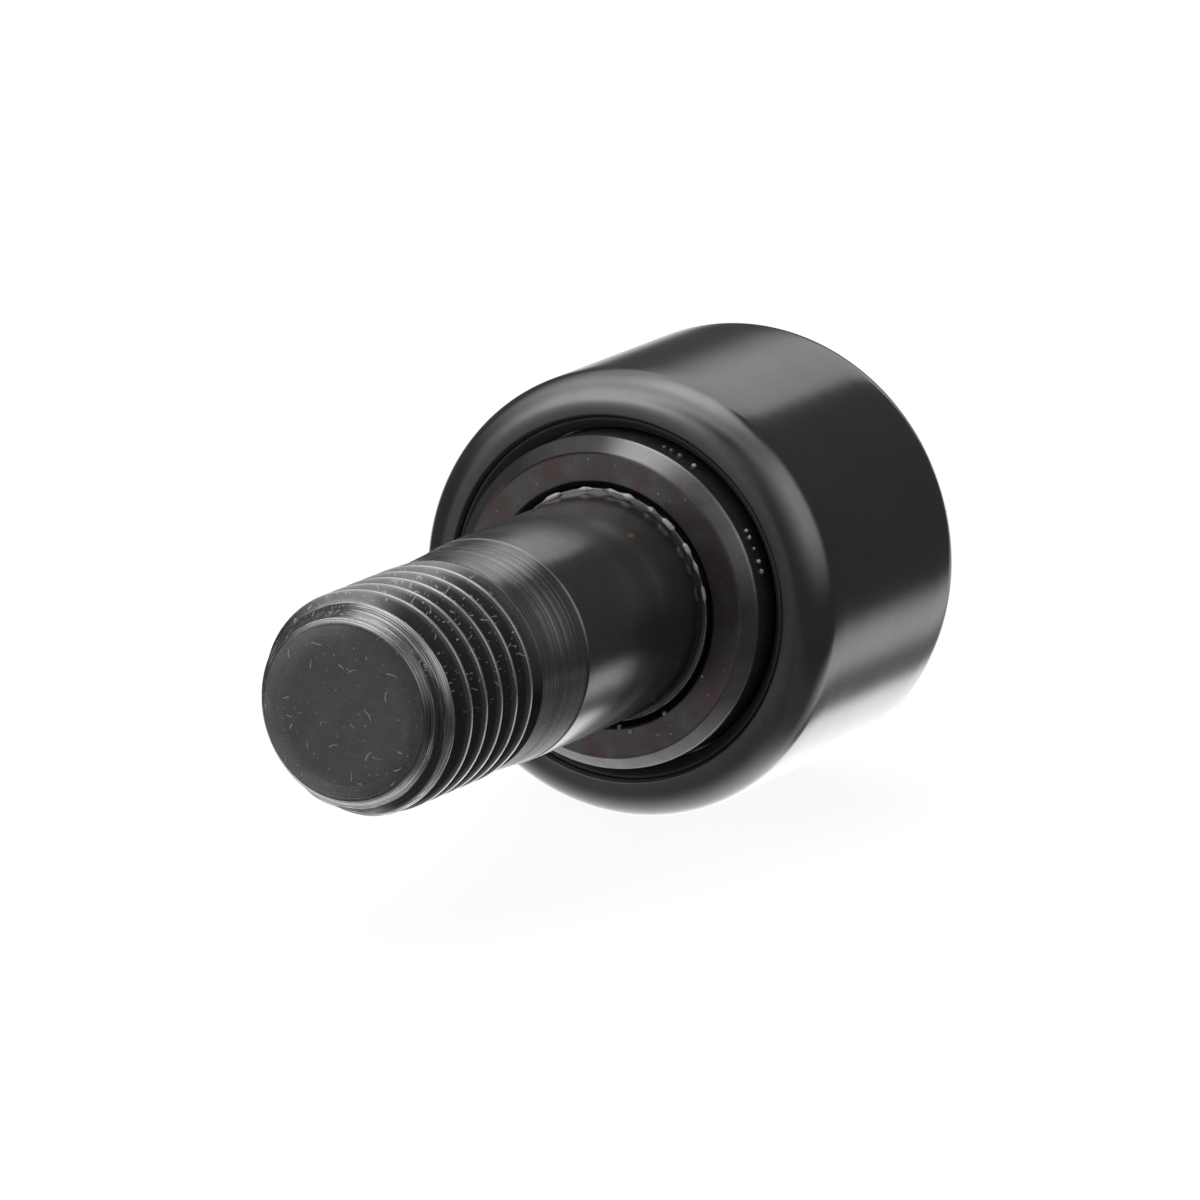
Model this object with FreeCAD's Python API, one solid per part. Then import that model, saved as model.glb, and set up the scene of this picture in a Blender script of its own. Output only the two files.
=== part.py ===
import FreeCAD, Part
import math
import os

# Stud-type cam follower: a needle-bearing roller on a threaded stud.
# Millimetres. The stud axis is Y. The origin is on the axis at the shoulder,
# the flat face of the end plate. The threaded tip is at -Y, the head at +Y.

# --- driving dimensions ---------------------------------------------------
ROLLER_RADIUS = 7.9375
ROLLER_WIDTH = 11.4
RING_CORNER = 1.32
RING_PROUD = 1.06
RING_LIP_BEVEL = 0.12

STUD_LENGTH = 18.45
SHANK_RADIUS = 3.969
SEAT_RADIUS = 4.13
SEAT_STEP = 0.03
TIP_FLAT_RADIUS = 3.061
TIP_CHAMFER_LENGTH = 1.28
THREAD_MAJOR_RADIUS = 3.881
THREAD_PITCH = 1.05833
THREAD_DEPTH = 0.613
THREAD_CREST_FLAT = 0.13
THREAD_ROOT_FLAT = 0.15
THREAD_TURNS = 8
THREAD_FULL_END_Y = -11.26
THREAD_FULL_END_DEG = 270.0
RUNOUT_SWEEP_DEG = 100.0
THREAD_END_FROM_TIP = 7.08
THREAD_END_RADIUS = 3.793
THREAD_END_BEVEL = 0.5
GROOVE_OVERCUT = 0.10
TAPER_END_FROM_TIP = 10.12

PLATE_THICKNESS = 2.0
PLATE_RADIUS = 5.911
PLATE_FLAT_RADIUS = 5.428
PLATE_BEVEL_DEPTH = 0.416
PLATE_BORE_MOUTH_RADIUS = 4.40
PLATE_BORE_MOUTH_DEPTH = 0.40
PLATE_BACK_BEVEL = 0.10

COUNTERBORE_RADIUS = 6.416
COUNTERBORE_DEPTH = 1.44
INNER_RACE_RADIUS = 4.2
OUTER_RACE_RADIUS = 5.55

NEEDLE_COUNT = 14
NEEDLE_RADIUS = 0.66
NEEDLE_LENGTH = 7.6
NEEDLE_END_RADIUS = 0.15
CAGE_INNER_RADIUS = 4.40
CAGE_OUTER_RADIUS = 5.35
CAGE_LENGTH = 8.3
POCKET_SIDE_CLEARANCE = 0.03
POCKET_END_CLEARANCE = 0.05

WASHER_THICKNESS = 0.42
WASHER_INNER_RADIUS = 4.30
WASHER_OUTER_RADIUS = 5.85

SEAL_LENGTH = 1.05
SEAL_LIP_RADIUS = 5.97
SEAL_WEB = 0.22
SEAL_LIP_FRONT = 0.25
SEAL_LIP_BACK = 0.55
SEAL_LIP_ROOT = 0.35
SEAL_HEEL = 0.12

SOCKET_ACROSS_FLATS = 3.175
SOCKET_DEPTH = 4.2
SOCKET_MOUTH_BEVEL = 0.25

# --- derived stations along Y ---------------------------------------------
TIP_Y = -STUD_LENGTH
RING_NEAR_Y = RING_PROUD
RING_FAR_Y = RING_NEAR_Y + ROLLER_WIDTH
MID_Y = (RING_NEAR_Y + RING_FAR_Y) / 2.0
FLOOR_NEAR_Y = RING_NEAR_Y + COUNTERBORE_DEPTH
FLOOR_FAR_Y = RING_FAR_Y - COUNTERBORE_DEPTH
HEAD_INNER_Y = 2.0 * MID_Y - PLATE_THICKNESS
HEAD_OUTER_Y = 2.0 * MID_Y
PITCH_RADIUS = (INNER_RACE_RADIUS + OUTER_RACE_RADIUS) / 2.0

AXIS_POINT = FreeCAD.Vector(0, 0, 0)
AXIS_Y = FreeCAD.Vector(0, 1, 0)


def revolve(points):
    """A solid of revolution about Y from (radius, y) corner points."""
    verts = [FreeCAD.Vector(r, y, 0) for r, y in points]
    verts.append(verts[0])
    face = Part.Face(Part.makePolygon(verts))
    return face.revolve(AXIS_POINT, AXIS_Y, 360)


def save(name, shape):
    if shape.ShapeType != "Solid":
        shape = shape.Solids[0]
    if shape.Volume < 0:
        shape.reverse()
    shape.exportStep("parts/" + name + ".step")
    print(name, "valid", shape.isValid(), "volume", round(shape.Volume, 3))


def mirrored_y(shape):
    """The same piece on the far side of the roller's middle plane."""
    base = FreeCAD.Vector(0, MID_Y, 0)
    return shape.mirror(base, AXIS_Y)


def circle_edges(shape, radius, y):
    """Full circular edges of one radius at one station."""
    found = []
    for edge in shape.Edges:
        curve = edge.Curve
        if not isinstance(curve, Part.Circle):
            continue
        same_r = abs(curve.Radius - radius) < 1e-3
        if same_r and abs(curve.Center.y - y) < 1e-3:
            found.append(edge)
    return found


# --- stud: head flange, raceway, seat, shank, taper and thread -------------
def stud_blank():
    thread_end = TIP_Y + THREAD_END_FROM_TIP
    taper_end = TIP_Y + TAPER_END_FROM_TIP
    profile = [
        (0, TIP_Y),
        (TIP_FLAT_RADIUS, TIP_Y),
        (THREAD_MAJOR_RADIUS, TIP_Y + TIP_CHAMFER_LENGTH),
        (THREAD_MAJOR_RADIUS, thread_end - THREAD_END_BEVEL),
        (THREAD_END_RADIUS, thread_end),
        (SHANK_RADIUS, taper_end),
        (SHANK_RADIUS, 0),
        (SEAT_RADIUS, SEAT_STEP),
        (SEAT_RADIUS, PLATE_THICKNESS),
        (INNER_RACE_RADIUS, PLATE_THICKNESS),
        (INNER_RACE_RADIUS, HEAD_INNER_Y),
        (PLATE_RADIUS, HEAD_INNER_Y),
        (PLATE_RADIUS, HEAD_OUTER_Y - PLATE_BEVEL_DEPTH),
        (PLATE_FLAT_RADIUS, HEAD_OUTER_Y),
        (0, HEAD_OUTER_Y),
    ]
    return revolve(profile)


def groove_profile(radius, y):
    """Groove section in the XY plane at +X, widening outwards past the crest."""
    root = radius - THREAD_DEPTH
    half_root = THREAD_ROOT_FLAT / 2.0
    half_crest = (THREAD_PITCH - THREAD_CREST_FLAT) / 2.0
    slope = (half_crest - half_root) / THREAD_DEPTH
    outer = radius + GROOVE_OVERCUT
    half_outer = half_crest + slope * GROOVE_OVERCUT
    pts = [
        FreeCAD.Vector(root, y - half_root, 0),
        FreeCAD.Vector(outer, y - half_outer, 0),
        FreeCAD.Vector(outer, y + half_outer, 0),
        FreeCAD.Vector(root, y + half_root, 0),
    ]
    pts.append(pts[0])
    return Part.makePolygon(pts)


def groove_solid(start_y, height, radius, cone_deg):
    """A groove swept along a right-hand helix about Y, starting at +X."""
    helix = Part.makeHelix(THREAD_PITCH, height, radius, cone_deg)
    helix.rotate(AXIS_POINT, FreeCAD.Vector(1, 0, 0), -90)
    helix.translate(FreeCAD.Vector(0, start_y, 0))
    pipe = Part.BRepOffsetAPI.MakePipeShell(helix)
    pipe.setFrenetMode(True)
    pipe.add(groove_profile(radius, start_y))
    pipe.build()
    pipe.makeSolid()
    solid = pipe.shape()
    if solid.Volume < 0:
        solid.reverse()
    return solid


def turned(shape, degrees):
    out = shape.copy()
    out.rotate(AXIS_POINT, AXIS_Y, degrees)
    return out


def hex_socket():
    corner = SOCKET_ACROSS_FLATS / math.sqrt(3.0)
    pts = []
    for k in range(7):
        a = math.radians(60 * k)
        x = corner * math.cos(a)
        z = corner * math.sin(a)
        pts.append(FreeCAD.Vector(x, HEAD_OUTER_Y + 1, z))
    face = Part.Face(Part.makePolygon(pts))
    return face.extrude(FreeCAD.Vector(0, -SOCKET_DEPTH - 1, 0))


def socket_mouth():
    """A 45 degree bevel all round the socket's mouth."""
    corner = SOCKET_ACROSS_FLATS / math.sqrt(3.0)
    deep = FreeCAD.Vector(0, HEAD_OUTER_Y - SOCKET_MOUTH_BEVEL, 0)
    wide = corner + 2 * SOCKET_MOUTH_BEVEL
    return Part.makeCone(corner, wide, 2 * SOCKET_MOUTH_BEVEL, deep, AXIS_Y)


stud = stud_blank()
# Full-depth groove: ends pointing at THREAD_FULL_END_DEG, clockwise from +Z
# as seen from the tip. The run-out groove carries on and climbs out.
turn = THREAD_FULL_END_DEG - 90.0
run = THREAD_TURNS * THREAD_PITCH
main_groove = groove_solid(
    THREAD_FULL_END_Y - run, run, THREAD_MAJOR_RADIUS, 0)
stud = stud.cut(turned(main_groove, turn))
print("thread cut valid", stud.isValid(), round(stud.Volume, 3))
run = THREAD_PITCH * RUNOUT_SWEEP_DEG / 360.0
climb = math.degrees(math.atan2(THREAD_DEPTH + GROOVE_OVERCUT, run))
runout = groove_solid(THREAD_FULL_END_Y, run, THREAD_MAJOR_RADIUS, climb)
stud = stud.cut(turned(runout, turn))
print("run-out cut valid", stud.isValid(), round(stud.Volume, 3))
stud = stud.cut(hex_socket())
stud = stud.cut(socket_mouth())

# --- end plate -------------------------------------------------------------
plate = revolve([
    (SEAT_RADIUS, PLATE_BORE_MOUTH_DEPTH),
    (PLATE_BORE_MOUTH_RADIUS, 0),
    (PLATE_FLAT_RADIUS, 0),
    (PLATE_RADIUS, PLATE_BEVEL_DEPTH),
    (PLATE_RADIUS, PLATE_THICKNESS - PLATE_BACK_BEVEL),
    (PLATE_RADIUS - PLATE_BACK_BEVEL, PLATE_THICKNESS),
    (SEAT_RADIUS, PLATE_THICKNESS),
])

# --- outer ring ------------------------------------------------------------
ring = revolve([
    (OUTER_RACE_RADIUS, FLOOR_NEAR_Y),
    (COUNTERBORE_RADIUS, FLOOR_NEAR_Y),
    (COUNTERBORE_RADIUS, RING_NEAR_Y + RING_LIP_BEVEL),
    (COUNTERBORE_RADIUS + RING_LIP_BEVEL, RING_NEAR_Y),
    (ROLLER_RADIUS, RING_NEAR_Y),
    (ROLLER_RADIUS, RING_FAR_Y),
    (COUNTERBORE_RADIUS + RING_LIP_BEVEL, RING_FAR_Y),
    (COUNTERBORE_RADIUS, RING_FAR_Y - RING_LIP_BEVEL),
    (COUNTERBORE_RADIUS, FLOOR_FAR_Y),
    (OUTER_RACE_RADIUS, FLOOR_FAR_Y),
])
corners = circle_edges(ring, ROLLER_RADIUS, RING_NEAR_Y)
corners += circle_edges(ring, ROLLER_RADIUS, RING_FAR_Y)
ring = ring.makeFillet(RING_CORNER, corners)

# --- lip seals, fixed in the ring's counterbores ---------------------------
seal_top = FLOOR_NEAR_Y - SEAL_LENGTH
seal = revolve([
    (COUNTERBORE_RADIUS, FLOOR_NEAR_Y),
    (COUNTERBORE_RADIUS, seal_top),
    (COUNTERBORE_RADIUS - SEAL_WEB, seal_top),
    (COUNTERBORE_RADIUS - SEAL_WEB, seal_top + SEAL_LIP_ROOT),
    (SEAL_LIP_RADIUS, seal_top + SEAL_LIP_FRONT),
    (SEAL_LIP_RADIUS, seal_top + SEAL_LIP_BACK),
    (SEAL_LIP_RADIUS + SEAL_HEEL, FLOOR_NEAR_Y),
])

# --- thrust washers --------------------------------------------------------
washer = revolve([
    (WASHER_INNER_RADIUS, PLATE_THICKNESS),
    (WASHER_OUTER_RADIUS, PLATE_THICKNESS),
    (WASHER_OUTER_RADIUS, PLATE_THICKNESS + WASHER_THICKNESS),
    (WASHER_INNER_RADIUS, PLATE_THICKNESS + WASHER_THICKNESS),
])

# --- cage ------------------------------------------------------------------
cage_y0 = MID_Y - CAGE_LENGTH / 2.0
cage = revolve([
    (CAGE_INNER_RADIUS, cage_y0),
    (CAGE_OUTER_RADIUS, cage_y0),
    (CAGE_OUTER_RADIUS, cage_y0 + CAGE_LENGTH),
    (CAGE_INNER_RADIUS, cage_y0 + CAGE_LENGTH),
])
pocket_half = NEEDLE_RADIUS + POCKET_SIDE_CLEARANCE
pocket_length = NEEDLE_LENGTH + 2 * POCKET_END_CLEARANCE
for k in range(NEEDLE_COUNT):
    pocket = Part.makeBox(
        2 * pocket_half, pocket_length, PITCH_RADIUS,
        FreeCAD.Vector(-pocket_half, MID_Y - pocket_length / 2, 0.8 * PITCH_RADIUS))
    cage = cage.cut(turned(pocket, 360.0 * k / NEEDLE_COUNT))

# --- needle rollers --------------------------------------------------------
needle = Part.makeCylinder(
    NEEDLE_RADIUS, NEEDLE_LENGTH,
    FreeCAD.Vector(0, MID_Y - NEEDLE_LENGTH / 2, PITCH_RADIUS), AXIS_Y)
rims = [e for e in needle.Edges if isinstance(e.Curve, Part.Circle)]
needle = needle.makeFillet(NEEDLE_END_RADIUS, rims)

os.makedirs("parts", exist_ok=True)
save("stud", stud)
save("end_plate", plate)
save("outer_ring", ring)
save("seal_near", seal)
save("seal_far", mirrored_y(seal))
save("thrust_washer_near", washer)
save("thrust_washer_far", mirrored_y(washer))
save("needle_cage", cage)
for k in range(NEEDLE_COUNT):
    name = "needle_roller_%02d" % (k + 1)
    save(name, turned(needle, 360.0 * k / NEEDLE_COUNT))
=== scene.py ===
import math
import random

import bmesh
import bpy
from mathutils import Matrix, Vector


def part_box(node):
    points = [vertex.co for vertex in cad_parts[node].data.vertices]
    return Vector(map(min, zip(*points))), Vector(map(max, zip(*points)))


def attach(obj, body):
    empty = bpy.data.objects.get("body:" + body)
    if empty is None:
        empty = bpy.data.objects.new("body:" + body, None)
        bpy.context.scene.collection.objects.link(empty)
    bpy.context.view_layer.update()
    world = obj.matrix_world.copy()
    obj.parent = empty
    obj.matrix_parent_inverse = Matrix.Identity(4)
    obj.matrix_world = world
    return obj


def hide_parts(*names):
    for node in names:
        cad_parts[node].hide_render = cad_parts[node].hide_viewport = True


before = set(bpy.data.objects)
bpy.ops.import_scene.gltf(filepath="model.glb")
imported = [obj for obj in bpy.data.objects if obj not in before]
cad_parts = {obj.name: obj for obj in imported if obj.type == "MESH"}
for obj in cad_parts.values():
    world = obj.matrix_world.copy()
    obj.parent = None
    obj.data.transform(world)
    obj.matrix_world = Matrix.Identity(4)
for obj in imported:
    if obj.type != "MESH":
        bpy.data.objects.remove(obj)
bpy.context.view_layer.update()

MM = 0.001
SEGMENTS = 240          # columns round the stud, a multiple of 12 for the hexagon
RING_SEGMENTS = 512
BEAD_SEGMENTS = 720

# --- sizes, millimetres, as in the CAD ------------------------------------
ring_lo, ring_hi = [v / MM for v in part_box("outer_ring")]
stud_lo, stud_hi = [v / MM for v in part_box("stud")]
_, plate_hi = [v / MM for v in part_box("end_plate")]
TIP_Y = stud_lo.y
HEAD_OUTER_Y = stud_hi.y
RING_NEAR_Y = ring_lo.y
RING_FAR_Y = ring_hi.y
ROLLER_RADIUS = ring_hi.x
PLATE_RADIUS = plate_hi.x
PLATE_THICKNESS = plate_hi.y
MID_Y = (RING_NEAR_Y + RING_FAR_Y) / 2
HEAD_INNER_Y = 2 * MID_Y - PLATE_THICKNESS

SHANK_RADIUS = 3.969
SEAT_RADIUS = 4.13
RACE_RADIUS = 4.2
TIP_FLAT_RADIUS = 3.061
MAJOR_RADIUS = 3.881
PITCH = 1.05833
THREAD_DEPTH = 0.613
CREST_FLAT = 0.13
ROOT_HALF = 0.075
FLANK_SLOPE = ((PITCH - CREST_FLAT) / 2 - ROOT_HALF) / THREAD_DEPTH
THREAD_TURNS = 8
THREAD_FULL_END_Y = -11.26
THREAD_FULL_END_DEG = 270.0
RUNOUT_SWEEP_DEG = 100.0
GROOVE_OVERCUT = 0.10
THREAD_END_Y = TIP_Y + 7.08
THREAD_END_RADIUS = 3.793
TAPER_END_Y = TIP_Y + 10.12
TAPER_END_RADIUS = 3.932
CHAMFER_LENGTH = 1.28
CHAMFER_SLOPE = (MAJOR_RADIUS - TIP_FLAT_RADIUS) / CHAMFER_LENGTH
PLATE_FLAT_RADIUS = 5.428
PLATE_BEVEL_DEPTH = 0.416
BORE_MOUTH_RADIUS = 4.40
BORE_MOUTH_DEPTH = 0.40
COUNTERBORE_RADIUS = 6.416
COUNTERBORE_DEPTH = 1.44
OUTER_RACE_RADIUS = 5.55
RING_CORNER = 1.32
RING_LIP_BEVEL = 0.12
SEAL_LIP_RADIUS = 5.97
SEAL_BACK_RADIUS = 6.09
SEAL_HEIGHT = 1.05
SOCKET_APOTHEM = 3.175 / 2
SOCKET_CORNER = 3.175 / math.sqrt(3.0)
SOCKET_DEPTH = 4.2
SOCKET_BEVEL = 0.25

# --- details that only the visual model has, millimetres --------------------
UNCUT = 9.0                         # a radius outside the stud, where no tool has cut
EDGE_ROUND = 0.030                  # blend between the thread's flanks and crests
ROOT_ROUND = 0.06
LEAD_SHIFT = 0.18                   # how far the first groove is pushed off the chamfer
LEAD_ZONE = (0.70, 1.10)            # where it returns to the helix, from the tip
GROOVE_STATIONS = (0.0, 0.045, 0.075, 0.11, 0.26, PITCH / 2)
CROSSING_STATIONS = (-0.016, -0.005, 0.005, 0.016)
LEAST_CROSSING = 0.004
LEAST_STATION_GAP = 0.003

# the short groove where the first thread runs out on the chamfer
START_CUT_DEG = (-66.0, 9.0)
START_CUT_FADE_DEG = (34.0, 24.0)
START_CUT_DEPTH = 0.09
START_CUT_NEAR = (0.22, 0.32)
START_CUT_FAR = (0.60, 1.06)

# the tip face falls away to its edge in fine rings
FACE_RADII = (0.35, 0.9, 1.5, 2.1, 2.45)
CROWN = 0.034
CROWN_START = 2.45
CROWN_REACH = 0.6
CROWN_RINGS = (2.55, 2.98)
CROWN_RING_STEPS = (0.036, 0.060)

# pitch and depth of the turning marks
CHAMFER_MARKS = (0.066, 0.020)
TAPER_MARKS = (0.088, 0.0115)

BEAD_RADIUS = 4.10
BEAD_SIZES = (0.010, 0.100)
BEAD_TOP_DEG = 12.0
RIM_DROP_Y = 1.04
# (degrees, size) of the oil drops on the plate's rim
RIM_DROPS = ((19, 0.05), (22, 0.09), (25.5, 0.10), (31.5, 0.09), (60, 0.07), (62.5, 0.09),
             (66.5, 0.06), (71, 0.08), (74.5, 0.09))
# (degrees, radius, size) of the drops on the plate's face below the shank
FACE_DROPS = ((170.0, 4.32, 0.10), (165.0, 4.50, 0.09), (145.0, 4.36, 0.08), (118.0, 4.50, 0.05))

rng = random.Random(11)


# --- mesh building ---------------------------------------------------------
def rounded(corners, steps=8):
    """A profile from (radius, y, fillet) corners, each fillet cut into steps."""
    out = []
    last = len(corners) - 1
    for i, (r, y, fillet) in enumerate(corners):
        here = Vector((r, y))
        if not fillet or i in (0, last):
            out.append((r, y))
            continue
        before = Vector(corners[i - 1][:2]) - here
        after = Vector(corners[i + 1][:2]) - here
        angle = before.angle(after)
        reach = fillet / math.tan(angle / 2)
        middle = (before.normalized() + after.normalized()).normalized()
        centre = here + middle * (fillet / math.sin(angle / 2))
        start = here + before.normalized() * reach - centre
        turn = math.pi - angle
        side = 1 if before.x * after.y - before.y * after.x < 0 else -1
        for k in range(steps + 1):
            t = side * turn * k / steps
            c, s = math.cos(t), math.sin(t)
            p = centre + Vector((start.x * c - start.y * s, start.x * s + start.y * c))
            out.append((p.x, p.y))
    return out


def subdivided(profile, longest):
    """The profile with no straight run longer than the given length."""
    out = [profile[0]]
    for (r0, y0), (r1, y1) in zip(profile, profile[1:]):
        length = math.hypot(r1 - r0, y1 - y0)
        parts = max(1, math.ceil(length / longest))
        for k in range(1, parts + 1):
            t = k / parts
            out.append((r0 + (r1 - r0) * t, y0 + (y1 - y0) * t))
    return out


def point(radius, y, degrees):
    """Degrees run clockwise from +Z towards +X, as seen from the tip."""
    a = math.radians(degrees)
    return (radius * math.sin(a) * MM, y * MM, radius * math.cos(a) * MM)


def make_object(name, verts, faces, sharp_deg=32.0):
    mesh = bpy.data.meshes.new(name)
    mesh.from_pydata(verts, [], faces)
    bm = bmesh.new()
    bm.from_mesh(mesh)
    bmesh.ops.remove_doubles(bm, verts=bm.verts, dist=1e-8)
    bmesh.ops.recalc_face_normals(bm, faces=bm.faces)
    bm.to_mesh(mesh)
    bm.free()
    mesh.shade_smooth()
    mesh.set_sharp_from_angle(angle=math.radians(sharp_deg))
    obj = bpy.data.objects.new(name, mesh)
    bpy.context.scene.collection.objects.link(obj)
    return obj


def hoop_faces(segments, count):
    """Faces of a closed hoop whose section has count points."""
    faces = []
    for j in range(segments):
        a = j * count
        b = ((j + 1) % segments) * count
        for i in range(count):
            n = (i + 1) % count
            faces.append((a + i, a + n, b + n, b + i))
    return faces


def lathe(name, profile):
    """A ring-shaped solid from a closed (radius, y) profile."""
    verts = []
    for j in range(RING_SEGMENTS):
        deg = 360.0 * j / RING_SEGMENTS
        verts.extend(point(r, y, deg) for r, y in profile)
    return make_object(name, verts, hoop_faces(RING_SEGMENTS, len(profile)))


# --- stud: the turned blank ---------------------------------------------------
mark_ys, mark_radii = set(), set()


def tool_marks(y0, y1, r0, r1, marks, fade):
    """Control points of a turned surface: fine saw-tooth ridges between two ends."""
    pitch, depth = marks
    pts = []
    y = y0
    while y < y1 - 1.4 * pitch:
        step = pitch * rng.uniform(0.7, 1.35)
        t = (y - y0) / (y1 - y0)
        base = r0 + (r1 - r0) * t
        high = depth * rng.uniform(0.25, 1.0) * fade(t)
        pts.append((y, base - high / 2))
        pts.append((y + 0.42 * step, base + (r1 - r0) / (y1 - y0) * 0.42 * step + high / 2))
        y += step
    mark_ys.update(p[0] for p in pts)
    return pts


def crown_rings():
    """Fine rings over the last half millimetre of the tip face."""
    pts = []
    r, last = CROWN_RINGS
    while r < last:
        step = rng.uniform(*CROWN_RING_STEPS)
        fall = CROWN * ((r - CROWN_START) / CROWN_REACH) ** 1.6
        pts.append((r, TIP_Y + fall + 0.0035))
        pts.append((r + 0.35 * step, TIP_Y + fall - 0.0015))
        r += step
    mark_radii.update(p[0] for p in pts[::2])
    return pts


def even(_):
    return 1.0


def strongest_near_middle(t):
    return 0.30 + 0.70 * math.exp(-((t - 0.42) / 0.22) ** 2)


def blank_outline():
    """(y, radius) of the turned blank from the tip's edge to the taper's end."""
    top = TIP_Y + CHAMFER_LENGTH
    slope = CHAMFER_SLOPE
    pts = [
        (TIP_Y + CROWN - 0.004, TIP_FLAT_RADIUS - 0.018),
        (TIP_Y + CROWN + 0.006, TIP_FLAT_RADIUS + 0.008),
        (TIP_Y + CROWN + 0.020, TIP_FLAT_RADIUS + 0.028),
    ]
    pts += tool_marks(TIP_Y + 0.08, top - 0.03, TIP_FLAT_RADIUS + 0.08 * slope,
                      MAJOR_RADIUS - 0.03 * slope, CHAMFER_MARKS, even)
    pts += [
        (top, MAJOR_RADIUS - 0.006),
        (top + 0.040, MAJOR_RADIUS - 0.001),
        (top + 0.070, MAJOR_RADIUS),
        (THREAD_END_Y - 0.54, MAJOR_RADIUS),
        (THREAD_END_Y - 0.48, MAJOR_RADIUS - 0.006),
        (THREAD_END_Y - 0.03, THREAD_END_RADIUS + 0.004),
    ]
    pts += tool_marks(THREAD_END_Y, TAPER_END_Y - 0.12, THREAD_END_RADIUS,
                      TAPER_END_RADIUS - 0.005, TAPER_MARKS, strongest_near_middle)
    pts += [
        (TAPER_END_Y - 0.045, TAPER_END_RADIUS - 0.001),
        (TAPER_END_Y - 0.030, TAPER_END_RADIUS + 0.003),
        (TAPER_END_Y - 0.004, SHANK_RADIUS - 0.007),
        (TAPER_END_Y + 0.012, SHANK_RADIUS - 0.001),
        (TAPER_END_Y + 0.05, SHANK_RADIUS),
    ]
    return pts


BLANK = blank_outline()
BLANK_Y = [p[0] for p in BLANK]


def blank_radius(y):
    for (y0, r0), (y1, r1) in zip(BLANK, BLANK[1:]):
        if y <= y1:
            t = (y - y0) / (y1 - y0)
            return r0 + (r1 - r0) * t
    return BLANK[-1][1]


# --- stud: the thread -----------------------------------------------------------
def smooth_min(a, b, width):
    h = max(width - abs(a - b), 0.0) / width
    return min(a, b) - h * h * width / 4


def smooth_step(value, lo, hi):
    t = min(max((value - lo) / (hi - lo), 0.0), 1.0)
    return t * t * (3 - 2 * t)


def grooves(deg):
    """(centre y, root radius) of each groove crossing this meridian."""
    found = []
    for k in range(THREAD_TURNS + 1):
        sweep = deg - THREAD_FULL_END_DEG - 360.0 * k
        lift = max(0.0, sweep) / RUNOUT_SWEEP_DEG * (THREAD_DEPTH + GROOVE_OVERCUT)
        root = MAJOR_RADIUS - THREAD_DEPTH + lift
        centre = THREAD_FULL_END_Y + PITCH * sweep / 360.0
        centre += LEAD_SHIFT * (1 - smooth_step(centre - TIP_Y, *LEAD_ZONE))
        if root < MAJOR_RADIUS:
            found.append((centre, root))
    return found


def groove_radius(y, found):
    """The radius left by the thread tool, with a softly rounded root."""
    best = UNCUT
    for centre, root in found:
        flank = root + (abs(y - centre) - ROOT_HALF) / FLANK_SLOPE
        best = min(best, -smooth_min(-flank, -root, ROOT_ROUND))
    return best


def start_cut_radius(y, deg):
    """The short dark groove where the first thread runs out on the chamfer."""
    off = (deg + 180.0) % 360.0 - 180.0
    lo, hi = START_CUT_DEG
    if not lo < off < hi:
        return UNCUT
    fade_in, fade_out = START_CUT_FADE_DEG
    depth = START_CUT_DEPTH * smooth_step(off, lo, lo + fade_in)
    depth *= 1 - smooth_step(off, hi - fade_out, hi)
    s = y - TIP_Y
    near = (s - START_CUT_NEAR[0]) / (START_CUT_NEAR[1] - START_CUT_NEAR[0])
    far = (START_CUT_FAR[1] - s) / (START_CUT_FAR[1] - START_CUT_FAR[0])
    return TIP_FLAT_RADIUS + CHAMFER_SLOPE * s - depth * min(near, far, 1.0)


def thread_column(deg):
    """(radius, y) up one meridian of the threaded end."""
    found = grooves(deg)
    ys = set(BLANK_Y)
    for centre, _ in found:
        for off in GROOVE_STATIONS:
            ys.update((centre - off, centre + off))
    lo, hi = BLANK_Y[0], BLANK_Y[-1]
    ys = sorted(y for y in ys if lo <= y <= hi)
    if start_cut_radius(TIP_Y, deg) < UNCUT:
        ys = sorted(ys + [TIP_Y + v for v in START_CUT_NEAR + START_CUT_FAR])

    def cut(y):
        return min(groove_radius(y, found), start_cut_radius(y, deg))
    gaps = [blank_radius(y) - cut(y) for y in ys]
    extra = []
    for i in range(len(ys) - 1):
        if gaps[i] * gaps[i + 1] < 0 and abs(gaps[i] - gaps[i + 1]) > LEAST_CROSSING:
            t = gaps[i] / (gaps[i] - gaps[i + 1])
            y = ys[i] + (ys[i + 1] - ys[i]) * t
            extra += [y + off for off in CROSSING_STATIONS]
    column = []
    for y in sorted(ys + extra):
        too_close = column and y - column[-1][1] < LEAST_STATION_GAP and y < hi
        if lo <= y <= hi and not too_close:
            column.append((smooth_min(blank_radius(y), cut(y), EDGE_ROUND), y))
    return column


def zip_columns(a, b, base_a, base_b, faces):
    """Triangles between two neighbouring meridians with their own stations."""
    i = j = 0
    while i < len(a) - 1 or j < len(b) - 1:
        a_first = j == len(b) - 1 or (i < len(a) - 1 and a[i + 1][1] <= b[j + 1][1])
        if a_first:
            faces.append((base_a + i, base_a + i + 1, base_b + j))
            i += 1
        else:
            faces.append((base_a + i, base_b + j + 1, base_b + j))
            j += 1


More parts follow.
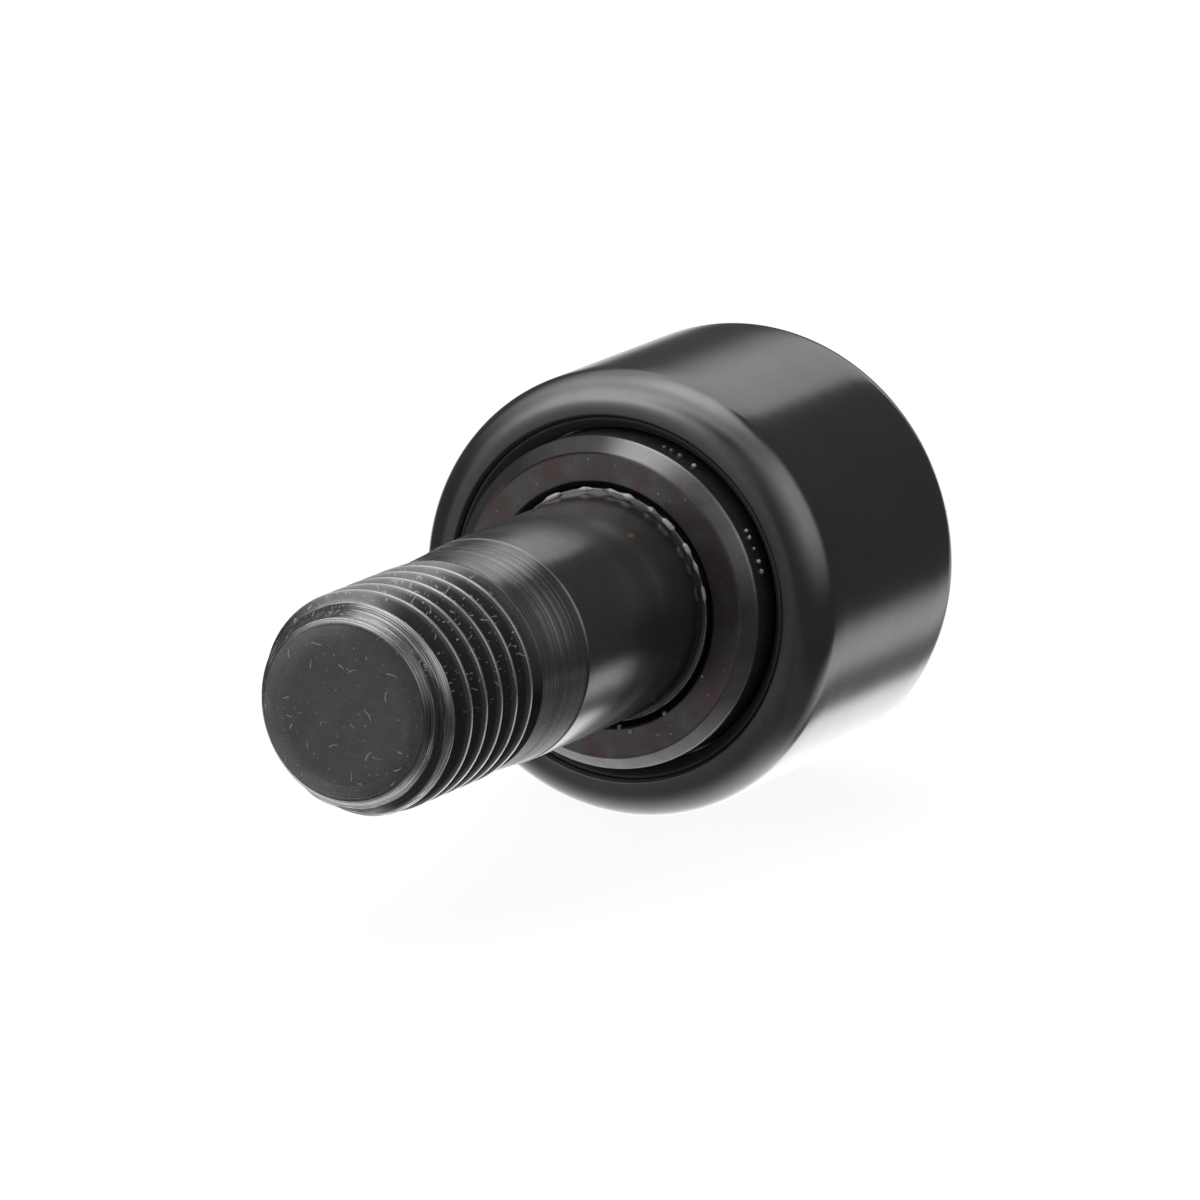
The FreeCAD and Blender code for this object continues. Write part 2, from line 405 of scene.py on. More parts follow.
def sharpen_marks(mesh):
    """The turning marks keep crisp ridges: their rings are sharp edges."""
    wanted_ys = set(round(y * 1e4) for y in mark_ys)
    wanted_radii = set(round(r * 1e3) for r in mark_radii)
    sharp = mesh.attributes.get("sharp_edge")
    if sharp is None:
        sharp = mesh.attributes.new("sharp_edge", "BOOLEAN", "EDGE")
    ys = [v.co.y / MM for v in mesh.vertices]
    for edge in mesh.edges:
        a, b = edge.vertices
        if abs(ys[a] - ys[b]) < 2e-5:
            co = mesh.vertices[a].co
            radius = math.hypot(co.x, co.z) / MM
            on_face = ys[a] < TIP_Y + CROWN and round(radius * 1e3) in wanted_radii
            if round(ys[a] * 1e4) in wanted_ys or on_face:
                sharp.data[edge.index].value = True


# --- stud: the rest of it --------------------------------------------------------
def body_profile():
    """Shank, plate seat, inner raceway and head, from the taper to the socket's bevel."""
    body = rounded([
        (SHANK_RADIUS, TAPER_END_Y + 0.05, 0),
        (SHANK_RADIUS, 0.0, 0),
        (SEAT_RADIUS, 0.03, 0),
        (SEAT_RADIUS, PLATE_THICKNESS, 0),
        (RACE_RADIUS, PLATE_THICKNESS, 0),
        (RACE_RADIUS, HEAD_INNER_Y, 0),
        (PLATE_RADIUS, HEAD_INNER_Y, 0.08),
        (PLATE_RADIUS, HEAD_OUTER_Y - PLATE_BEVEL_DEPTH, 0.16),
        (PLATE_FLAT_RADIUS, HEAD_OUTER_Y, 0.10),
        (SOCKET_CORNER + SOCKET_BEVEL, HEAD_OUTER_Y, 0),
    ])
    return subdivided(body, 1.6)[1:]


def socket_profile(deg):
    """The hexagon socket on one meridian; its corners are at 30, 90, 150 ... degrees."""
    off = (deg + 30.0) % 60.0 - 30.0
    hexagon = SOCKET_APOTHEM / math.cos(math.radians(off))
    rim_y = HEAD_OUTER_Y - SOCKET_BEVEL - (SOCKET_CORNER - hexagon)
    floor_y = HEAD_OUTER_Y - SOCKET_DEPTH
    return [
        (hexagon + 0.03, rim_y + 0.03),
        (hexagon + 0.008, rim_y - 0.008),
        (hexagon, rim_y - 0.03),
        (hexagon, floor_y + 0.06),
        (hexagon * 0.97, floor_y),
        (0.5, floor_y - 0.25),
    ]


def strip_faces(base_a, base_b, count, faces):
    """Quads between two neighbouring meridians with the same stations."""
    for i in range(count - 1):
        faces.append((base_a + i, base_a + i + 1, base_b + i + 1, base_b + i))


def build_stud():
    face = [(r, TIP_Y) for r in FACE_RADII] + crown_rings()
    body = body_profile()
    verts, columns, bases = [], [], []
    for j in range(SEGMENTS):
        deg = 360.0 * j / SEGMENTS
        parts = (face, thread_column(deg), body + socket_profile(deg))
        starts = []
        for part in parts:
            starts.append(len(verts))
            verts.extend(point(r, y, deg) for r, y in part)
        columns.append(parts)
        bases.append(starts)
    tip_centre = len(verts)
    verts.append(point(0, TIP_Y, 0))
    socket_centre = len(verts)
    verts.append(point(0, HEAD_OUTER_Y - SOCKET_DEPTH - 0.3, 0))
    faces = []
    for j in range(SEGMENTS):
        n = (j + 1) % SEGMENTS
        a, b = bases[j], bases[n]
        face_a, thread_a, body_a = columns[j]
        thread_b = columns[n][1]
        faces.append((tip_centre, a[0], b[0]))
        strip_faces(a[0], b[0], len(face_a), faces)
        last = len(face_a) - 1
        faces.append((a[0] + last, a[1], b[1], b[0] + last))
        zip_columns(thread_a, thread_b, a[1], b[1], faces)
        faces.append((a[1] + len(thread_a) - 1, a[2], b[2], b[1] + len(thread_b) - 1))
        strip_faces(a[2], b[2], len(body_a), faces)
        end = len(body_a) - 1
        faces.append((a[2] + end, socket_centre, b[2] + end))
    stud = make_object("stud_body", verts, faces, 38.0)
    sharpen_marks(stud.data)
    return stud


# --- turned rings ------------------------------------------------------------
def build_plate():
    profile = rounded([
        (SEAT_RADIUS, 1.2, 0),
        (SEAT_RADIUS, BORE_MOUTH_DEPTH, 0),
        (BORE_MOUTH_RADIUS, 0.0, 0.07),
        (PLATE_FLAT_RADIUS, 0.0, 0.16),
        (PLATE_RADIUS, PLATE_BEVEL_DEPTH, 0.22),
        (PLATE_RADIUS, PLATE_THICKNESS - 0.10, 0.03),
        (PLATE_RADIUS - 0.10, PLATE_THICKNESS, 0),
        (SEAT_RADIUS, PLATE_THICKNESS, 0),
    ])
    return lathe("end_plate_body", subdivided(profile, 0.4))


def build_ring():
    far, near = RING_FAR_Y, RING_NEAR_Y
    lip = COUNTERBORE_RADIUS + RING_LIP_BEVEL
    profile = rounded([
        (OUTER_RACE_RADIUS, MID_Y, 0),
        (OUTER_RACE_RADIUS, near + COUNTERBORE_DEPTH, 0.05),
        (COUNTERBORE_RADIUS, near + COUNTERBORE_DEPTH, 0),
        (COUNTERBORE_RADIUS, near + RING_LIP_BEVEL, 0.05),
        (lip, near, 0.08),
        (ROLLER_RADIUS, near, RING_CORNER),
        (ROLLER_RADIUS, far, RING_CORNER),
        (lip, far, 0.08),
        (COUNTERBORE_RADIUS, far - RING_LIP_BEVEL, 0.05),
        (COUNTERBORE_RADIUS, far - COUNTERBORE_DEPTH, 0),
        (OUTER_RACE_RADIUS, far - COUNTERBORE_DEPTH, 0.05),
        (OUTER_RACE_RADIUS, MID_Y, 0),
    ], 14)
    return lathe("outer_ring_body", subdivided(profile, 0.9)[:-1])


def build_seal(name, mirrored):
    floor = RING_NEAR_Y + COUNTERBORE_DEPTH
    top = floor - SEAL_HEIGHT
    profile = rounded([
        (COUNTERBORE_RADIUS - 0.01, floor, 0),
        (COUNTERBORE_RADIUS - 0.01, RING_NEAR_Y + 0.20, 0.03),
        (COUNTERBORE_RADIUS - 0.10, RING_NEAR_Y + 0.20, 0.08),
        (SEAL_LIP_RADIUS, top + 0.25, 0.06),
        (SEAL_LIP_RADIUS, top + 0.55, 0.06),
        (SEAL_BACK_RADIUS, floor, 0),
    ])
    if mirrored:
        profile = [(r, 2 * MID_Y - y) for r, y in profile]
    return lathe(name, subdivided(profile, 0.3))


# --- dried oil -----------------------------------------------------------------
def bead_hoop(count):
    """The uneven bead round the plate's bore mouth, thickest at the top."""
    waves = [(rng.randint(8, 34), rng.uniform(0, 6.28), rng.uniform(0.4, 1.0)) for _ in range(9)]
    total = sum(w[2] for w in waves)
    smallest, growth = BEAD_SIZES
    verts = []
    for j in range(BEAD_SEGMENTS):
        deg = 360.0 * j / BEAD_SEGMENTS
        a = math.radians(deg)
        lump = 0.25 + 3.2 * sum(w * math.sin(n * a + p) for n, p, w in waves) / total
        top = max(0.0, math.cos(math.radians(deg - BEAD_TOP_DEG))) ** 0.6
        size = smallest + growth * min(max(lump, 0.0), 1.0) * top
        for i in range(count):
            t = 2 * math.pi * i / count
            verts.append(point(BEAD_RADIUS + size * math.cos(t), size * 0.9 * math.sin(t), deg))
    return verts


def add_drop(verts, faces, centre, size):
    """A ball, wider or narrower one way."""
    rows, cols = 6, 12
    start = len(verts)
    skew = rng.uniform(0.7, 1.3)
    for i in range(rows + 1):
        t = math.pi * i / rows
        for k in range(cols):
            f = 2 * math.pi * k / cols
            out = size * math.sin(t)
            offset = Vector((out * math.cos(f) * skew, out * math.sin(f), size * math.cos(t)))
            verts.append(tuple((centre + offset) * MM))
    for i in range(rows):
        for k in range(cols):
            n = (k + 1) % cols
            faces.append((start + i * cols + k, start + (i + 1) * cols + k,
                          start + (i + 1) * cols + n, start + i * cols + n))


def build_bead():
    """The bead round the bore mouth, and the drops on the plate's rim and face."""
    count = 10
    verts = bead_hoop(count)
    faces = hoop_faces(BEAD_SEGMENTS, count)
    drops = [(deg, PLATE_RADIUS + 0.01, RIM_DROP_Y, size) for deg, size in RIM_DROPS]
    drops += [(deg, radius, -0.2 * size, size) for deg, radius, size in FACE_DROPS]
    for deg, radius, y, size in drops:
        a = math.radians(deg)
        centre = Vector((radius * math.sin(a), y, radius * math.cos(a)))
        add_drop(verts, faces, centre, size)
    return make_object("oil_bead", verts, faces, 80.0)


# --- node graphs ---------------------------------------------------------------
class Graph:
    """Short names for the few shader nodes used here."""

    def __init__(self, tree):
        self.tree = tree
        tree.nodes.clear()

    def node(self, kind, **settings):
        n = self.tree.nodes.new(kind)
        for key, value in settings.items():
            setattr(n, key, value)
        return n

    def put(self, socket, value):
        """Links a socket, or sets a constant on the shader's own one."""
        if isinstance(value, bpy.types.NodeSocket):
            self.tree.links.new(value, socket)
        else:
            socket.default_value = value

    def fill(self, n, *values):
        """Puts the values on the node's first inputs and gives its first output."""
        for socket, value in zip(n.inputs, values):
            self.put(socket, value)
        return n.outputs[0]

    def math(self, op, a, b=0.0, c=0.0):
        return self.fill(self.node("ShaderNodeMath", operation=op), a, b, c)

    def plus(self, a, b):
        return self.math("ADD", a, b)

    def minus(self, a, b):
        return self.math("SUBTRACT", a, b)

    def times(self, a, b):
        return self.math("MULTIPLY", a, b)

    def times_plus(self, a, b, c):
        return self.math("MULTIPLY_ADD", a, b, c)

    def larger(self, a, b):
        return self.math("MAXIMUM", a, b)

    def degrees(self, x, z):
        """The angle round the object's long axis: 0 overhead, 90 to the right."""
        return self.times(self.math("ARCTAN2", x, z), 180.0 / math.pi)

    def vector(self, x, y, z):
        return self.fill(self.node("ShaderNodeCombineXYZ"), x, y, z)

    def split(self, vec):
        n = self.node("ShaderNodeSeparateXYZ")
        self.put(n.inputs[0], vec)
        return tuple(n.outputs)

    def scaled(self, vec, factor):
        return self.fill(self.node("ShaderNodeVectorMath", operation="MULTIPLY"), vec, factor)

    def noise(self, vec, scale, detail=2.0, rough=0.5, w=None):
        n = self.node("ShaderNodeTexNoise", noise_dimensions="4D" if w is not None else "3D")
        self.put(n.inputs["Vector"], vec)
        if w is not None:
            self.put(n.inputs["W"], w)
        n.inputs["Scale"].default_value = scale
        n.inputs["Detail"].default_value = detail
        n.inputs["Roughness"].default_value = rough
        return n.outputs["Fac"]

    def step(self, value, lo, hi, out_lo=0.0, out_hi=1.0):
        """A smooth step from out_lo to out_hi as value goes from lo to hi."""
        n = self.node("ShaderNodeMapRange", interpolation_type="SMOOTHSTEP")
        return self.fill(n, value, lo, hi, out_lo, out_hi)

    def band(self, value, lo0, lo1, hi0, hi1):
        """1 between lo1 and hi0, falling smoothly to 0 at lo0 and hi1."""
        return self.times(self.step(value, lo0, lo1), self.step(value, hi0, hi1, 1.0, 0.0))

    def spread(self, noise, out_lo, out_hi):
        """The middle of a noise's range, drawn out in a straight line from out_lo to out_hi."""
        return self.fill(self.node("ShaderNodeMapRange"), noise, 0.3, 0.7, out_lo, out_hi)

    def between(self, mask, bare, covered):
        """The first value where the mask is 0, the second where it is 1."""
        return self.fill(self.node("ShaderNodeMapRange"), mask, 0.0, 1.0, bare, covered)

    def mix(self, fac, a, b):
        n = self.node("ShaderNodeMix", data_type="RGBA")
        self.put(n.inputs["Factor"], fac)
        self.put(n.inputs["A"], a)
        self.put(n.inputs["B"], b)
        return n.outputs["Result"]

    def paint(self, colour, mask, share, tint):
        """The tint laid over the colour, as strong as mask times share."""
        return self.mix(self.times(mask, share), colour, tint)

    def bump(self, height, distance, strength):
        n = self.node("ShaderNodeBump")
        n.inputs["Strength"].default_value = strength
        n.inputs["Distance"].default_value = distance
        self.put(n.inputs["Height"], height)
        return n.outputs[0]


def grey(v, warm=0.0):
    return (v * (1 + warm), v, v * (1 - warm), 1.0)


class Surface(Graph):
    """A material with the object's own millimetre coordinates ready to use."""

    def __init__(self, name):
        self.material = bpy.data.materials.new(name)
        self.material.use_nodes = True
        super().__init__(self.material.node_tree)
        coord = self.node("ShaderNodeTexCoord")
        self.p = self.scaled(coord.outputs["Object"], (1 / MM, 1 / MM, 1 / MM))
        self.x, self.y, self.z = self.split(self.p)
        xx = self.times(self.x, self.x)
        self.r = self.math("SQRT", self.times_plus(self.z, self.z, xx))
        safe = self.larger(self.r, 0.001)
        self.sin = self.math("DIVIDE", self.x, safe)
        self.cos = self.math("DIVIDE", self.z, safe)

    def turned(self, pitch, around=0.5, detail=2.0, rough=0.6):
        """Noise drawn out round the axis, as a turning tool leaves it."""
        vec = self.vector(self.math("DIVIDE", self.r, pitch),
                          self.math("DIVIDE", self.y, pitch),
                          self.times(self.sin, around))
        return self.noise(vec, 1.0, detail, rough, w=self.times(self.cos, around))

    def unrolled(self, radius):
        """Arc length round the axis and distance along it."""
        turn = self.math("ARCTAN2", self.x, self.z)
        return self.vector(self.times(turn, radius), self.y, 0.0)

    def flat(self):
        return self.vector(self.x, self.z, 0.0)

    def cell_frame(self, vec, scale):
        """Offset from the nearest random centre, and three random numbers."""
        cells = self.node("ShaderNodeTexVoronoi", voronoi_dimensions="2D")
        self.put(cells.inputs["Vector"], vec)
        cells.inputs["Scale"].default_value = scale
        offset = self.node("ShaderNodeVectorMath", operation="SUBTRACT")
        u, v, _ = self.split(self.fill(offset, vec, cells.outputs["Position"]))
        numbers = self.node("ShaderNodeSeparateColor")
        self.put(numbers.inputs[0], cells.outputs["Color"])
        return u, v, *numbers.outputs

    def dots(self, vec, scale, share, size):
        """Sparse round specks: share of the cells used, largest radius in mm."""
        u, v, a, b, _ = self.cell_frame(vec, scale)
        far = self.math("SQRT", self.times_plus(u, u, self.times(v, v)))
        width = self.times(self.times_plus(b, 0.75, 0.25), size)
        near = self.math("LESS_THAN", far, width)
        return self.times(self.math("LESS_THAN", a, share), near)

    def hairs(self, vec, scale, share, length, width):
        """Short thin curved fibres at random angles, sizes in mm."""
        u, v, a, b, c = self.cell_frame(vec, scale)
        angle = self.times(a, 41.0)
        co, si = self.math("COSINE", angle), self.math("SINE", angle)
        along = self.times_plus(u, co, self.times(v, si))
        across = self.minus(self.times(v, co), self.times(u, si))
        bend = self.times(self.minus(b, 0.5), 1.8 / length)
        across = self.times_plus(self.times(along, along), bend, across)
        reach = self.times(self.times_plus(c, 0.35, 0.15), length)
        inside = self.math("LESS_THAN", self.math("ABSOLUTE", along), reach)
        thin = self.math("LESS_THAN", self.math("ABSOLUTE", across), width / 2)
        used = self.math("LESS_THAN", self.math("FRACT", self.times(c, 13.0)), share)
        return self.times(self.times(inside, thin), used)

    def finish(self, colour, roughness, normal=None, metallic=1.0, level=0.5, **fixed):
        shader = self.node("ShaderNodeBsdfPrincipled")
        self.put(shader.inputs["Base Color"], colour)
        self.put(shader.inputs["Roughness"], roughness)
        self.put(shader.inputs["Metallic"], metallic)
        self.put(shader.inputs["Specular IOR Level"], level)
        if normal is not None:
            self.put(shader.inputs["Normal"], normal)
        for key, value in fixed.items():
            shader.inputs[key.replace("_", " ")].default_value = value
        out = self.node("ShaderNodeOutputMaterial")
        self.tree.links.new(shader.outputs[0], out.inputs["Surface"])
        return self.material


# --- materials --------------------------------------------------------------------
LINT = (0.50, 0.49, 0.46, 1.0)
RUST = (0.70, 0.36, 0.16, 1.0)
RED_STAIN = (0.155, 0.105, 0.104, 1.0)
CAGE_DARK = (0.20, 0.085, 0.03, 1.0)
CAGE_PALE = (0.28, 0.12, 0.045, 1.0)
OXIDE_METALLIC = 0.88
# heights of the fine relief, metres
TURNED_RELIEF = 2e-7
RING_RELIEF = 1e-7
NEEDLE_RELIEF = 2e-6
RUBBER_RELIEF = 2e-6
WASHER_RELIEF = 6e-6
CAGE_RELIEF = 1e-5
OIL_RELIEF = 2e-5
# the fleck on the shank; distances along the shank are squashed, so it is longer than wide
FLECK_DEG = 37.0
FLECK_Y = -2.3
FLECK_RADIUS = 0.130
FLECK_SQUASH = 0.45


class StudSurface(Surface):
    """The stud's black oxide, with masks for the places that look different."""

    def __init__(self):
        super().__init__("black_oxide_stud")
        top = TIP_Y + CHAMFER_LENGTH
        self.angle = self.degrees(self.x, self.z)
        self.grain = self.noise(self.p, 11.0, 3.0, 0.7)
        self.face = self.step(self.y, TIP_Y + CROWN - 0.002, TIP_Y + CROWN + 0.004, 1.0, 0.0)
        self.rim = self.times(self.face, self.step(self.r, 2.10, 3.05))
        self.chamfer = self.band(self.y, TIP_Y + 0.045, TIP_Y + 0.065, top, top + 0.1)
        self.threads = self.band(self.y, TIP_Y + 0.05, TIP_Y + 0.07,
                                 THREAD_END_Y - 0.5, THREAD_END_Y)
        self.taper = self.band(self.y, THREAD_END_Y - 0.1, THREAD_END_Y + 0.1,
                               TAPER_END_Y - 0.5, TAPER_END_Y - 0.05)
        # how far the surface lies below the blank's outline
        cone = self.times_plus(self.minus(self.y, TIP_Y), CHAMFER_SLOPE, TIP_FLAT_RADIUS)
        self.depth = self.minus(self.math("MINIMUM", cone, MAJOR_RADIUS), self.r)
        land = self.times(self.step(self.depth, 0.07, 0.01), self.threads)
        self.land = self.times(land, self.step(self.y, TIP_Y + 0.7, TIP_Y + 1.2))
        self.patch = self.run_out_patch()
        self.groove_shade = self.painted_groove_shade()

    def run_out_patch(self):
        """The dark groove where the first thread runs out on the chamfer."""
        lo, hi = START_CUT_DEG
        inner = TIP_Y + START_CUT_NEAR[0]
        outer = self.step(self.angle, lo, -25.0, TIP_Y + 0.45, TIP_Y + START_CUT_FAR[1])
        patch = self.times(self.step(self.y, inner, inner + 0.06),
                           self.math("LESS_THAN", self.y, outer))
        patch = self.times(patch, self.band(self.angle, lo - 6.0, lo + 8.0, -7.0, hi))
        return self.times(patch, self.step(self.noise(self.p, 5.0, 3.0), 0.30, 0.50, 0.75, 1.0))

    def painted_groove_shade(self):
        """Painted shade in the thread's grooves, light on the left and full on the right, in the
        chamfer's hollows on the right, and over the run-out groove.
        """
        # painted shade: the grooves darken more towards the right side
        right_side_shade = self.step(self.sin, 0.05, 0.50)
        groove_shade = self.times(self.threads, self.step(self.depth, 0.03, 0.16))
        groove_shade = self.times(groove_shade, self.between(right_side_shade, 0.22, 1.0))
        hollow = self.times(self.chamfer, self.step(self.depth, 0.025, 0.070))
        hollow = self.larger(self.times(hollow, right_side_shade), self.patch)
        return self.larger(groove_shade, hollow)

    def bare(self):
        """Mottled oxide, the tip's rim lightened on the left as a painted highlight and darkened
        on the right as painted shade, with lines on the chamfer and the taper.
        """
        base = self.spread(self.noise(self.p, 1.7, 4.0, 0.6), 0.150, 0.180)
        base = self.times(base, self.spread(self.grain, 0.88, 1.12))
        base = self.times(base, self.between(self.face, 1.0, 0.90))
        # painted highlight on the rim's left side and painted shade on its right side
        rim_side_light = self.step(self.sin, -0.5, 0.4, 1.80, 0.80)
        base = self.times(base, self.times_plus(self.rim, self.minus(rim_side_light, 1.0), 1.0))
        marked = self.larger(self.chamfer, self.times(self.taper, 0.32))
        lines = self.step(self.turned(0.045, 0.35, 3.0, 0.7), 0.36, 0.62, 0.45, 2.5)
        lined = self.times(base, lines)
        base = self.times_plus(marked, self.minus(lined, base), base)
        return self.mix(base, grey(0.0), grey(1.0, 0.01))

    def taper_painted_shade(self):
        """Painted shade on the taper's lower right side."""
        along = self.band(self.y, THREAD_END_Y - 0.6, THREAD_END_Y - 0.4,
                          TAPER_END_Y - 0.06, TAPER_END_Y + 0.02)
        return self.times(along, self.band(self.angle, 82.0, 100.0, 140.0, 168.0))

    def crests(self, colour):
        """Crests of the thread lightened all round and more towards the top as a painted
        highlight, and bare metal along their outermost line.
        """
        streaks = self.turned(0.05, 1.2, 3.0)
        # painted highlight: the crests lighten more towards the top
        bright = self.times(self.step(self.cos, 0.35, 0.95, 0.35, 1.0),
                            self.step(streaks, 0.35, 0.65, 0.3, 0.9))
        colour = self.paint(colour, self.land, bright, grey(0.36))
        edge = self.times(self.step(self.depth, 0.022, 0.006), self.land)
        wear = self.times(edge, self.step(self.noise(self.p, 1.1, 2.0), 0.25, 0.5))
        return self.paint(colour, wear, 0.85, grey(0.55))

    def lint(self):
        """Fibres and specks on the tip face and the thread's upper side."""
        flat, sleeve = self.flat(), self.unrolled(MAJOR_RADIUS)
        on_face = self.larger(self.hairs(flat, 1.6, 0.36, 0.46, 0.030),
                              self.times(self.dots(flat, 2.6, 0.6, 0.034), 0.6))
        on_face = self.times(on_face, self.face)
        upper = self.times(self.threads, self.step(self.cos, -0.25, 0.35))
        on_thread = self.larger(self.hairs(sleeve, 2.9, 0.5, 0.26, 0.030),
                                self.dots(sleeve, 5.2, 0.55, 0.030))
        held = self.larger(self.step(self.depth, 0.01, 0.05), self.patch)
        on_thread = self.times(on_thread, self.times(upper, held))
        thinned = self.step(self.noise(self.p, 2.6, 1.0), 0.30, 0.62, 0.35, 1.0)
        return self.times(self.larger(on_face, on_thread), thinned)

    def fleck(self):
        """One rust-coloured fleck on the shank."""
        a = math.radians(FLECK_DEG)
        centre = (SHANK_RADIUS * math.sin(a), FLECK_Y * FLECK_SQUASH, SHANK_RADIUS * math.cos(a))
        far = self.node("ShaderNodeVectorMath", operation="DISTANCE")
        self.fill(far, self.scaled(self.p, (1.0, FLECK_SQUASH, 1.0)), centre)
        ragged = self.times_plus(self.noise(self.p, 9.0), 0.08, far.outputs["Value"])
        return self.math("LESS_THAN", ragged, FLECK_RADIUS)


def stud_material():
    s = StudSurface()
    taper_shade, lint = s.taper_painted_shade(), s.lint()
    # painted shade on the taper's lower right side
    colour = s.paint(s.bare(), taper_shade, 0.86, grey(0.015))
    colour = s.crests(colour)
    # painted shade in the thread's grooves and over the run-out groove
    colour = s.paint(colour, s.groove_shade, 0.88, grey(0.022))
    colour = s.paint(colour, lint, 0.9, LINT)
    colour = s.paint(colour, s.fleck(), 0.9, RUST)
    height = s.times(s.turned(0.05, 0.6), s.between(s.face, 1.0, 0.2))
    height = s.times_plus(s.grain, s.between(s.face, 0.5, 1.5), height)
    rough = s.spread(s.turned(0.09, 0.6), 0.17, 0.23)
    rough = s.times_plus(s.face, 0.26, rough)
    rough = s.times_plus(s.land, 0.10, rough)
    rough = s.times_plus(s.larger(s.groove_shade, taper_shade), 0.22, rough)
    rough = s.times_plus(s.rim, -0.12, rough)
    metallic = s.times(s.between(lint, OXIDE_METALLIC, 0.08), s.between(s.groove_shade, 1.0, 0.1))
    level = s.between(s.groove_shade, 0.5, 0.12)
    return s.finish(colour, rough, s.bump(height, TURNED_RELIEF, 0.6), metallic, level)


def plate_material():
    s = Surface("black_oxide_plate")
    flat = s.step(s.y, 0.01, 0.05, 1.0, 0.0)
    base = s.spread(s.noise(s.p, 1.3, 4.0, 0.6), 0.13, 0.18)
    colour = s.mix(base, grey(0.0), grey(1.0))
    stain = s.times(flat, s.step(s.noise(s.p, 0.8, 3.0, 0.6), 0.38, 0.62))
    colour = s.paint(colour, stain, 0.75, RED_STAIN)
    # the bevel has painted shade at the upper left and a painted highlight beside it
    bevel = s.step(s.r, PLATE_FLAT_RADIUS - 0.14, PLATE_FLAT_RADIUS - 0.04)
    bevel = s.times(bevel, s.step(s.y, PLATE_BEVEL_DEPTH, PLATE_BEVEL_DEPTH + 0.05, 1.0, 0.0))
    angle = s.degrees(s.x, s.z)
    bevel_shade = s.times(bevel, s.band(angle, -62.0, -36.0, -6.0, 20.0))
    bevel_highlight = s.times(bevel, s.band(angle, -2.0, 14.0, 22.0, 38.0))
    colour = s.paint(colour, bevel_shade, 0.78, grey(0.008))
    colour = s.paint(colour, bevel_highlight, 0.60, grey(0.31))
    specks = s.times(s.dots(s.flat(), 1.9, 0.30, 0.05), flat)
    colour = s.paint(colour, specks, 0.5, LINT)
    height = s.times_plus(s.noise(s.p, 22.0, 3.0, 0.7), 0.35, s.turned(0.07, 0.7))
    rough = s.times_plus(flat, 0.06, s.spread(s.turned(0.12, 0.8), 0.24, 0.30))
    return s.finish(colour, rough, s.bump(height, TURNED_RELIEF, 0.6), OXIDE_METALLIC)


def ring_material():
    s = Surface("black_oxide_ring")
    half = MID_Y - RING_NEAR_Y
    face = s.step(s.math("ABSOLUTE", s.minus(s.y, MID_Y)), half - 0.10, half - 0.01)
    base = s.spread(s.noise(s.p, 0.55, 4.0, 0.6), 0.150, 0.175)
    base = s.times(base, s.between(face, 1.0, 0.84))
    colour = s.mix(base, grey(0.0), grey(1.0))
    height = s.times_plus(s.noise(s.p, 26.0, 3.0, 0.7), 0.5, s.turned(0.045, 0.7))
    rough = s.times_plus(face, 0.26, s.spread(s.turned(0.12, 0.8), 0.14, 0.18))
    return s.finish(colour, rough, s.bump(height, RING_RELIEF, 0.5), OXIDE_METALLIC)


def seal_material():
    s = Surface("black_seal_rubber")
    colour = s.mix(s.noise(s.p, 3.0, 4.0, 0.6), grey(0.050), grey(0.075))
    wet = s.dots(s.flat(), 1.6, 0.25, 0.12)
    rough = s.times_plus(wet, -0.30, 0.62)
    height = s.times_plus(s.noise(s.p, 12.0, 3.0), 0.4, wet)
    return s.finish(colour, rough, s.bump(height, RUBBER_RELIEF, 0.6), 0.0)


def bead_material():
    s = Surface("dried_oil_painted_glints")
    glint_clump = s.noise(s.p, 1.6, 3.0, 0.6)
    # the light grey clumps are painted glints on the dried oil
    colour = s.mix(s.step(glint_clump, 0.34, 0.50), grey(0.12), grey(0.50))
    rough = s.spread(glint_clump, 0.30, 0.16)
    return s.finish(colour, rough, s.bump(s.noise(s.p, 9.0, 3.0), OIL_RELIEF, 0.7), 0.1)


def washer_material():
    s = Surface("washer_acetal")
    colour = s.mix(s.noise(s.p, 1.5, 4.0), grey(0.50, 0.05), grey(0.62, 0.05))
    return s.finish(colour, 0.5, s.bump(s.turned(0.1), WASHER_RELIEF, 0.5), 0.0)


def cage_material():
    s = Surface("cage_polyamide")
    colour = s.mix(s.noise(s.p, 1.2, 4.0), CAGE_DARK, CAGE_PALE)
    return s.finish(colour, 0.45, s.bump(s.noise(s.p, 18.0, 3.0), CAGE_RELIEF, 0.6), 0.0)


def needle_material():
    s = Surface("polished_needle_steel")
    colour = s.mix(s.noise(s.p, 1.0, 3.0), grey(0.52), grey(0.60))
    rough = s.spread(s.noise(s.scaled(s.p, (1.0, 9.0, 1.0)), 1.0), 0.10, 0.18)
    return s.finish(colour, rough, s.bump(s.noise(s.p, 20.0), NEEDLE_RELIEF, 0.4))


def floor_material():
    s = Surface("pale_floor")
    colour = s.mix(s.noise(s.p, 0.02, 3.0), grey(0.09), grey(0.10))
    return s.finish(colour, 0.6, None, 0.0, 0.2, Emission_Color=(1, 1, 1, 1),
                    Emission_Strength=0.925)


# --- pieces ----------------------------------------------------------------------
def dress(obj, material):
    obj.data.materials.clear()
    obj.data.materials.append(material)


def place(obj, body, slot, material, *nodes):
    dress(obj, material)
    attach(obj, body)
    if nodes:
        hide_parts(*nodes)


